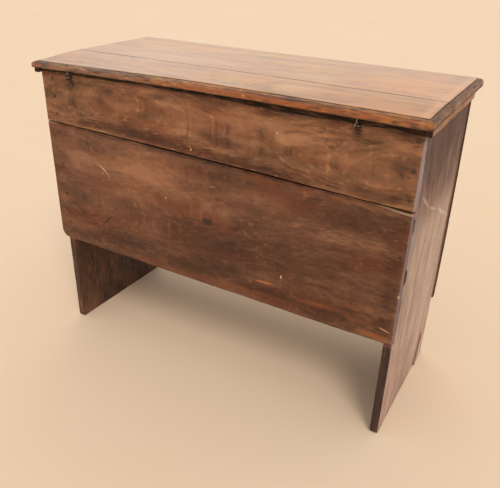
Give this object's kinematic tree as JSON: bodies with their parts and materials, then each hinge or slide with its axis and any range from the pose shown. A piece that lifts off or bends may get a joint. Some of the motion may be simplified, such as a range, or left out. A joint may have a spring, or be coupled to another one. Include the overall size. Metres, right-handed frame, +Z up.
{
  "type": "six-plank coffer",
  "caption": "Boarded storage chest: nailed planks, end planks that run down to the floor as legs, and a moulded lid on linked wire hinges.",
  "frame": {"origin": "on the floor, under the centre of the bounding box of the closed coffer", "axes": "+X towards the coffer's right end as seen from the front, +Y towards the hinged back, +Z up; the lid opens at the -Y side"},
  "size_m": [1.062, 0.49, 0.7983],
  "materials": {
    "end_oak": "waxed and worn, vertical grain",
    "back_oak": "old dry waxed surface, long grain",
    "front_oak": "waxed, long grain",
    "inner_oak": "unfinished, dry",
    "lid_oak": "polished and rubbed, long grain",
    "cleat_oak": "worn",
    "wrought_iron": "hand-forged wire, darkened",
    "nail_iron": "hammered, rusted dark"
  },
  "bodies": {
    "case": {"end_left": "end_oak", "end_right": "end_oak", "back_upper_board": "back_oak", "back_lower_board": "back_oak", "front_board": "front_oak", "bottom_board": "inner_oak", "hinge_case_loop_left": "wrought_iron", "hinge_case_loop_right": "wrought_iron", "back_upper_nails": "nail_iron", "back_lower_nails": "nail_iron", "front_nails": "nail_iron", "bottom_nails": "nail_iron"},
    "lid": {"lid_front_board": "lid_oak", "lid_rear_board": "lid_oak", "lid_cleat_left": "cleat_oak", "lid_cleat_right": "cleat_oak", "lid_joint_pegs": "inner_oak", "hinge_lid_loop_left": "wrought_iron", "hinge_lid_loop_right": "wrought_iron", "cleat_nails_left": "nail_iron", "cleat_nails_right": "nail_iron"}
  },
  "joints": [
    {"name": "lid_hinge", "type": "hinge", "parent": "case", "child": "lid", "pos_m": [0, 0.23695, 0.7625], "axis": [-1, 0, 0], "range_deg": [0, 100]}
  ]
}
